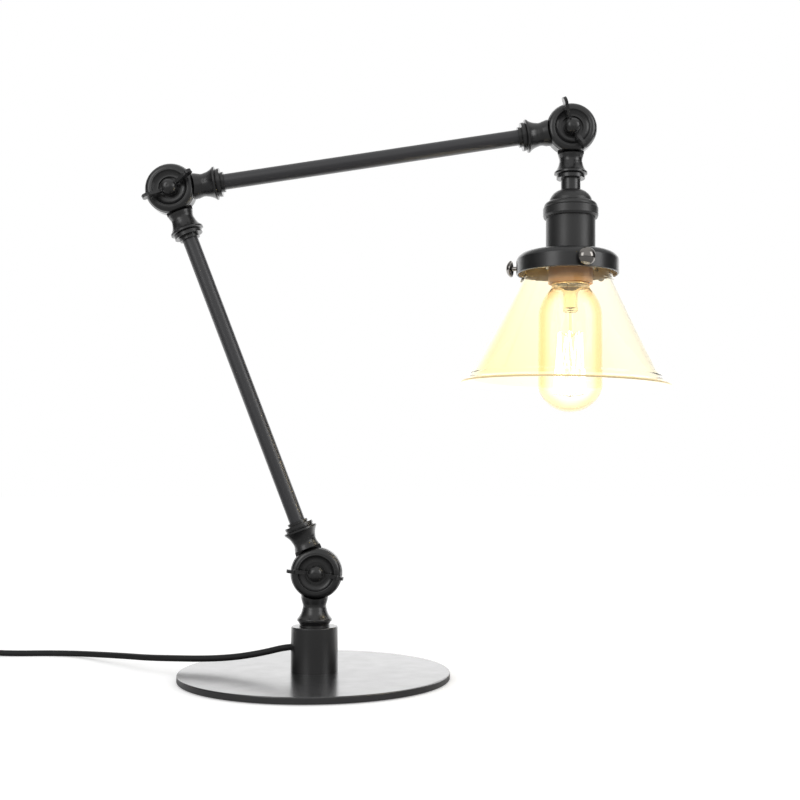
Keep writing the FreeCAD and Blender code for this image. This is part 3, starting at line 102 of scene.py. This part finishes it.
# Cord, in millimetres
CORD_D = 4.5
LEAD_START = (-11, 0, 21.9)
LEAD_POINTS = [(-19.3, 0, 21.9), (-36, 1.1, 17.6), (-56, 4.4, 13.9), (-78, 8, 12.2), (-102, 13, 11.8),
               (-123, 31, 9.3), (-144, 53, 7), (-168, 73, 4.9), (-190, 92, 2.7), (-215, 98, 2.25),
               (-239, 96, 2.25), (-259, 97.5, 2.5), (-277, 98, 4.6), (-292, 97, 7.5)]
LINK_POINTS = [(-331, 97, 7.5), (-369, 97, 7.5), (-383, 97, 3.5)]
TAIL_POINTS = [(-385.5, 163, 18.5), (-370, 164, 12.5), (-355, 164, 6.85), (-344.5, 164, 6.85)]
COIL_MIDDLE = (-400, 130)
COIL_R, COIL_PITCH, COIL_LAYER, COIL_LOW = 33, 5.9, 5, 3.5
COIL_TURNS, COIL_LAYERS, COIL_CLIMB = 1.5, 4, 0.5
COIL_POINTS = 16


def metres(point):
    return Vector(point) * MM


# Nodes


def new_material(name):
    """Material with its tree and its Principled shader."""
    material = bpy.data.materials.new(name)
    material.use_nodes = True
    return material, material.node_tree, material.node_tree.nodes["Principled BSDF"]


def set_inputs(node, values):
    for key, value in values.items():
        node.inputs[key].default_value = value


def add_node(tree, kind, inputs=None, **settings):
    node = tree.nodes.new(kind)
    for key, value in settings.items():
        setattr(node, key, value)
    set_inputs(node, inputs or {})
    return node


def join(tree, operation, first, second):
    """Output of a math node on two values, each a socket or a number."""
    node = add_node(tree, "ShaderNodeMath", operation=operation)
    for slot, value in enumerate((first, second)):
        if isinstance(value, (int, float)):
            node.inputs[slot].default_value = value
        else:
            tree.links.new(value, node.inputs[slot])
    return node.outputs[0]


def place_of(tree, kind="Object"):
    return add_node(tree, "ShaderNodeTexCoord").outputs[kind]


def part_of(tree, vector, axis):
    split = add_node(tree, "ShaderNodeSeparateXYZ")
    tree.links.new(vector, split.inputs[0])
    return split.outputs[axis]


def along(tree, vector, direction):
    """How far a vector reaches along a direction, in lengths of the direction."""
    node = add_node(tree, "ShaderNodeVectorMath", {1: direction}, operation="DOT_PRODUCT")
    tree.links.new(vector, node.inputs[0])
    return node.outputs["Value"]


def spread(tree, value, start, end, low=0.0, high=1.0, smooth=False):
    """Value carried from one range to another, and held at the ends of that."""
    node = add_node(tree, "ShaderNodeMapRange", {"From Min": start, "From Max": end, "To Min": low, "To Max": high},
                    interpolation_type="SMOOTHSTEP" if smooth else "LINEAR")
    tree.links.new(value, node.inputs["Value"])
    return node.outputs["Result"]


def tint(tree, shader, factor, first, second):
    """Base colour that goes from one colour to another with the factor."""
    node = add_node(tree, "ShaderNodeMix", {"A": (*first, 1), "B": (*second, 1)}, data_type="RGBA")
    tree.links.new(factor, node.inputs["Factor"])
    tree.links.new(node.outputs["Result"], shader.inputs["Base Color"])


# Camera, floor and light


def add_object(name, data):
    thing = bpy.data.objects.new(name, data)
    bpy.context.scene.collection.objects.link(thing)
    return thing


def make_camera():
    data = bpy.data.cameras.new("photo_camera")
    data.sensor_width = SENSOR_W
    data.lens = CAMERA_LENS
    data.clip_start = 0.01
    camera = add_object("photo_camera", data)
    camera.location = metres(CAMERA_AT)
    camera.rotation_euler = (math.radians(90 + CAMERA_PITCH), 0, 0)
    bpy.context.scene.camera = camera


def make_world():
    """White for the camera and through glass, plain for diffuse light, and for gloss white behind the lamp only."""
    world = bpy.data.worlds.new("studio")
    bpy.context.scene.world = world
    world.use_nodes = True
    tree = world.node_tree
    background = tree.nodes["Background"]
    background.inputs["Color"].default_value = (1, 1, 1, 1)
    direction = place_of(tree, "Generated")

    def span(axis, *ends):
        return spread(tree, part_of(tree, direction, axis), *ends, smooth=True)
    front = join(tree, "MULTIPLY", span(*GLOSS_FRONT), span(*GLOSS_RISE))
    gloss = join(tree, "MAXIMUM", span(*GLOSS_BACK), join(tree, "MAXIMUM", front, span(*GLOSS_ABOVE)))
    rays = add_node(tree, "ShaderNodeLightPath")
    level = add_node(tree, "ShaderNodeMix", {"A": DIFFUSE_LEVEL}, data_type="FLOAT")
    tree.links.new(rays.outputs["Is Glossy Ray"], level.inputs["Factor"])
    tree.links.new(gloss, level.inputs["B"])
    seen = join(tree, "MAXIMUM", rays.outputs["Is Camera Ray"], rays.outputs["Is Transmission Ray"])
    tree.links.new(join(tree, "MAXIMUM", seen, level.outputs["Result"]), background.inputs["Strength"])


def make_floor():
    """White for the camera, through glass and for gloss behind the lamp, and grey for the light that it throws up."""
    mesh = bpy.data.meshes.new("floor")
    corners = [(-FLOOR_REACH, -FLOOR_REACH, 0), (FLOOR_REACH, -FLOOR_REACH, 0), (FLOOR_REACH, FLOOR_REACH, 0),
               (-FLOOR_REACH, FLOOR_REACH, 0)]
    mesh.from_pydata(corners, [], [(0, 1, 2, 3)])
    material, tree, shader = new_material("floor_white")
    set_inputs(shader, {"Roughness": 0.9, "Specular IOR Level": 0, "Emission Color": (1, 1, 1, 1)})
    rays = add_node(tree, "ShaderNodeLightPath")
    behind = spread(tree, part_of(tree, place_of(tree), "Y"), *FLOOR_BEHIND, smooth=True)
    mirrored = join(tree, "MULTIPLY", behind, rays.outputs["Is Glossy Ray"])
    seen = join(tree, "MAXIMUM", rays.outputs["Is Camera Ray"], rays.outputs["Is Transmission Ray"])
    bright = join(tree, "MAXIMUM", seen, mirrored)
    for socket, (plain, white) in FLOOR_LEVELS.items():
        tree.links.new(spread(tree, bright, 0.0, 1.0, plain, white), shader.inputs[socket])
    mesh.materials.append(material)
    add_object("floor", mesh)


def make_softbox(name, at, power):
    data = bpy.data.lights.new(name, "AREA")
    data.shape = "RECTANGLE"
    data.size = SOFTBOX_W
    data.size_y = SOFTBOX_H
    data.energy = power
    lamp = add_object(name, data)
    lamp.location = at
    lamp.rotation_euler = (Vector(SOFTBOX_AIM) - Vector(at)).to_track_quat("-Z", "Y").to_euler()


def make_bulb_light():
    """Warm light from the middle of the filament, for the metal round the bulb."""
    data = bpy.data.lights.new("bulb_light", "POINT")
    data.color = BULB_LIGHT_COLOUR
    data.energy = BULB_LIGHT_POWER
    data.shadow_soft_size = BULB_LIGHT_R
    lamp = add_object("bulb_light", data)
    lamp.location = BULB_MIDDLE
    lamp.visible_glossy = False
    lamp.visible_transmission = False
    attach(lamp, "bulb")


def make_lights():
    for name, (at, power) in SOFTBOXES.items():
        make_softbox(name, at, power)
    make_bulb_light()


# Materials


def add_grain(tree, shader, scale, strength, distance):
    """Fine bump that breaks up the reflections."""
    noise = add_node(tree, "ShaderNodeTexNoise", {"Scale": scale, "Detail": 4.0, "Roughness": 0.6})
    bump = add_node(tree, "ShaderNodeBump", {"Strength": strength, "Distance": distance})
    tree.links.new(place_of(tree), noise.inputs["Vector"])
    tree.links.new(noise.outputs["Fac"], bump.inputs["Height"])
    tree.links.new(bump.outputs["Normal"], shader.inputs["Normal"])


def add_mottle(tree, shader, scale, low, high):
    """Slow variation of the roughness over the surface."""
    noise = add_node(tree, "ShaderNodeTexNoise", {"Scale": scale, "Detail": 3.0})
    tree.links.new(place_of(tree), noise.inputs["Vector"])
    tree.links.new(spread(tree, noise.outputs["Fac"], 0.3, 0.7, low, high), shader.inputs["Roughness"])


def coated(name, colour, rough, coat_rough, index=1.6, coat_index=1.5):
    """Paint under a clear coat, which together shine strongly at a low angle, with its tree and its shader."""
    material, tree, shader = new_material(name)
    set_inputs(shader, {"Base Color": (*colour, 1), "IOR": index, "Coat Weight": 1, "Coat IOR": coat_index,
                        "Coat Roughness": coat_rough})
    add_grain(tree, shader, 2600, 0.12, 0.0002)
    add_mottle(tree, shader, 60, rough - 0.04, rough + 0.04)
    return material, tree, shader


def lacquer(*settings):
    return coated(*settings)[0]


def gallery_lacquer():
    """Black outside, and pale gold inside, which is partly painted light from the bulb."""
    material, tree, shader = coated("gallery_lacquer", BLACK, 0.36, 0.26)
    place = add_node(tree, "ShaderNodeTexCoord")
    out = add_node(tree, "ShaderNodeVectorMath", {1: GALLERY_MIDDLE}, operation="SUBTRACT")
    facing = add_node(tree, "ShaderNodeVectorMath", operation="DOT_PRODUCT")
    tree.links.new(place.outputs["Object"], out.inputs[0])
    tree.links.new(out.outputs["Vector"], facing.inputs[0])
    tree.links.new(place.outputs["Normal"], facing.inputs[1])
    # Faces that look towards the gallery's middle get the pale gold, partly painted bulb light.
    tint(tree, shader, join(tree, "GREATER_THAN", facing.outputs["Value"], 0.0), (0.56, 0.5, 0.42), BLACK)
    return material


def skirt_lacquer_painted_glow():
    """Black, and brown on the skirt under the gallery, partly its own tone and partly painted light from the bulb,
    turning to orange painted bulb light at its lower end.
    """
    material, tree, shader = coated("skirt_lacquer_painted_glow", BLACK, 0.45, 0.36, 1.5)
    set_inputs(shader, {"Specular IOR Level": 0.8, "Coat Weight": 0.6})
    ramp = add_node(tree, "ShaderNodeValToRGB")
    stops = ramp.color_ramp.elements
    for stop, (share, colour) in zip(stops, (SKIRT_PAINTED_BULB_LIGHT, SKIRT_BLACK)):
        stop.position, stop.color = share, colour
    for share, colour in SKIRT_BROWN_AND_PAINTED_LIGHT:
        stops.new(share).color = colour
    # The ramp paints more bulb light lower down on the skirt, nearer the bulb.
    height = part_of(tree, place_of(tree), "Z")
    tree.links.new(spread(tree, height, SKIRT_LOW, SKIRT_TOP), ramp.inputs["Fac"])
    tree.links.new(ramp.outputs["Color"], shader.inputs["Base Color"])
    return material


def plain_metal(name, colour, rough):
    material, tree, shader = new_material(name)
    set_inputs(shader, {"Base Color": (*colour, 1), "Metallic": 1})
    add_grain(tree, shader, 1800, 0.08, 0.0001)
    add_mottle(tree, shader, 90, rough - 0.03, rough + 0.05)
    return material


def plastic(name, colour, rough, grain):
    material, tree, shader = new_material(name)
    set_inputs(shader, {"Base Color": (*colour, 1)})
    add_grain(tree, shader, grain, 0.15, 0.0002)
    add_mottle(tree, shader, 120, rough - 0.04, rough + 0.04)
    return material


def glass(name, colour, glow=0.0):
    """Glass that lets light through to what is behind and under it, with its tree and its shader."""
    material, tree, shader = new_material(name)
    # Emission on glass is a painted glow: faint all over the bulb's glass, and on the shade's rim.
    set_inputs(shader, {"Base Color": (*colour, 1), "Transmission Weight": 1, "Roughness": 0.0, "IOR": GLASS_INDEX,
                        "Emission Color": (1, 0.8, 0.45, 1), "Emission Strength": glow})
    rays = add_node(tree, "ShaderNodeLightPath")
    clear = join(tree, "MULTIPLY", rays.outputs["Is Shadow Ray"], GLASS_SHADOW_LOSS)
    tree.links.new(join(tree, "SUBTRACT", 1.0, clear), shader.inputs["Alpha"])
    return material, tree, shader


def shade_glass():
    """Straw yellow glass, deepest low on the post's side, with a painted glow on its rim."""
    material, tree, shader = glass("shade_glass", (0.99, 0.955, 0.72))
    place = place_of(tree)
    share = spread(tree, along(tree, place, SHADE_TINT_ALONG), *SHADE_TINT_SPAN)
    tint(tree, shader, share, (0.995, 0.905, 0.62), (1.0, 0.98, 0.93))
    # Emission on the rim is a painted glow that makes its edge pale.
    rim = spread(tree, along(tree, place, SHADE_RIM_SLANT), *SHADE_RIM_SPAN, SHADE_RIM_PAINTED_GLOW, 0.0)
    tree.links.new(rim, shader.inputs["Emission Strength"])
    return material


def bulb_glass():
    """Thin glass that shows its amber tint where it turns away, with a faint painted glow."""
    material, tree, shader = glass("bulb_glass", (1.0, 0.93, 0.74), BULB_GLASS_PAINTED_GLOW)
    edge = add_node(tree, "ShaderNodeLayerWeight", {"Blend": 0.5})
    turned = spread(tree, edge.outputs["Facing"], *BULB_EDGE, smooth=True)
    tint(tree, shader, turned, (1.0, 0.985, 0.94), (1.0, 0.76, 0.48))
    return material


def glowing(name, colour, strength):
    material, tree, shader = new_material(name)
    set_inputs(shader, {"Base Color": (*colour, 1), "Emission Color": (*colour, 1), "Emission Strength": strength})
    return material


def make_materials():
    """Material of each slot and each own finish. Plain numbers are roughness, then the coat's or the grain."""
    return {
        "black_metal": lacquer("black_lacquer", BLACK, 0.36, 0.24),
        "plate": lacquer("plate_lacquer", (0.006, 0.006, 0.0075), 0.34, 0.19, 1.75, 1.65),
        "tube": lacquer("tube_lacquer", (0.027, 0.027, 0.031), 0.42, 0.34),
        "gallery": gallery_lacquer(),
        "skirt": skirt_lacquer_painted_glow(),
        "socket_metal": lacquer("socket_lacquer", (0.012, 0.012, 0.0124), 0.45, 0.36),
        "polished_metal": plain_metal("polished_nickel", (0.36, 0.34, 0.32), 0.1),
        "steel": plain_metal("zinc_steel", (0.55, 0.55, 0.56), 0.35),
        "brass": plain_metal("brass", (0.75, 0.55, 0.28), 0.25),
        "tin": plain_metal("tin", (0.7, 0.7, 0.7), 0.35),
        "porcelain": plastic("porcelain", (0.85, 0.83, 0.78), 0.15, 300),
        "pad_foam": plastic("pad_foam", (0.02, 0.02, 0.02), 0.85, 900),
        "rubber": plastic("rubber", (0.02, 0.02, 0.02), 0.6, 1500),
        "shade_glass": shade_glass(),
        "bulb_glass": bulb_glass(),
        "clear_glass": glass("clear_glass", (1.0, 0.93, 0.75))[0],
        "black_glass": plastic("black_glass", (0.01, 0.01, 0.01), 0.1, 300),
        "filament": glowing("filament", (1.0, 0.86, 0.6), 6),
        "inner_wire": plastic("inner_wire", (0.2, 0.2, 0.22), 0.5, 1500),
        "cord": plastic("cord_sheath", (0.012, 0.012, 0.0125), 0.6, 1800),
        "tie": plastic("hook_tape", (0.015, 0.015, 0.015), 0.9, 2500),
        "switch_plastic": plastic("switch_gloss", (0.012, 0.012, 0.012), 0.2, 700),
        "plug_plastic": plastic("plug_satin", (0.015, 0.015, 0.015), 0.4, 1200),
    }


def dress_nodes(materials):
    for piece in frame["record"]["subparts"]:
        mesh = frame["nodes"][piece["node"]].data
        mesh.materials.clear()
        mesh.materials.append(materials[OWN_FINISH.get(piece["node"], piece["material_slot"])])


# Cord


def coil_point(turns):
    """Control point of the winding after so many turns, a little outside the line that the spline then takes."""
    lap = COIL_TURNS + COIL_CLIMB
    layer = min(int(turns / lap), COIL_LAYERS - 1)
    into = turns - layer * lap
    climb = min(max((into - COIL_TURNS) / COIL_CLIMB, 0), 1)
    wound = min(into, COIL_TURNS) * COIL_PITCH
    radius = COIL_R - wound if layer % 2 == 0 else COIL_R - COIL_TURNS * COIL_PITCH + wound
    radius /= (3 + math.cos(2 * math.pi / COIL_POINTS)) / 4
    bearing = -math.pi / 2 - 2 * math.pi * turns
    height = COIL_LOW + COIL_LAYER * (layer + climb ** 2 * (3 - 2 * climb))
    return (COIL_MIDDLE[0] + radius * math.cos(bearing), COIL_MIDDLE[1] + radius * math.sin(bearing), height)


def make_cord(materials):
    total = (COIL_TURNS + COIL_CLIMB) * COIL_LAYERS - COIL_CLIMB
    count = round(total * COIL_POINTS)
    winding = [coil_point((number + 0.5) / COIL_POINTS) for number in range(count)]
    points = [LEAD_START] + LEAD_POINTS + LINK_POINTS + winding + TAIL_POINTS
    data = bpy.data.curves.new("cord", "CURVE")
    data.dimensions = "3D"
    data.bevel_depth = CORD_D / 2 * MM
    data.bevel_resolution = 5
    data.resolution_u = 6
    spline = data.splines.new("NURBS")
    spline.points.add(len(points) - 1)
    for point, place in zip(spline.points, points):
        point.co = (*metres(place), 1)
    spline.order_u = 3
    spline.use_endpoint_u = True
    data.materials.append(materials["cord"])
    cord = add_object("cord", data)
    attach(cord, "root")
    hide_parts("cord_lead", "cord_link", "cord_coil", "cord_tail")


bpy.context.scene.view_settings.view_transform = "Standard"
make_camera()
make_world()
make_floor()
make_lights()
looks = make_materials()
dress_nodes(looks)
make_cord(looks)
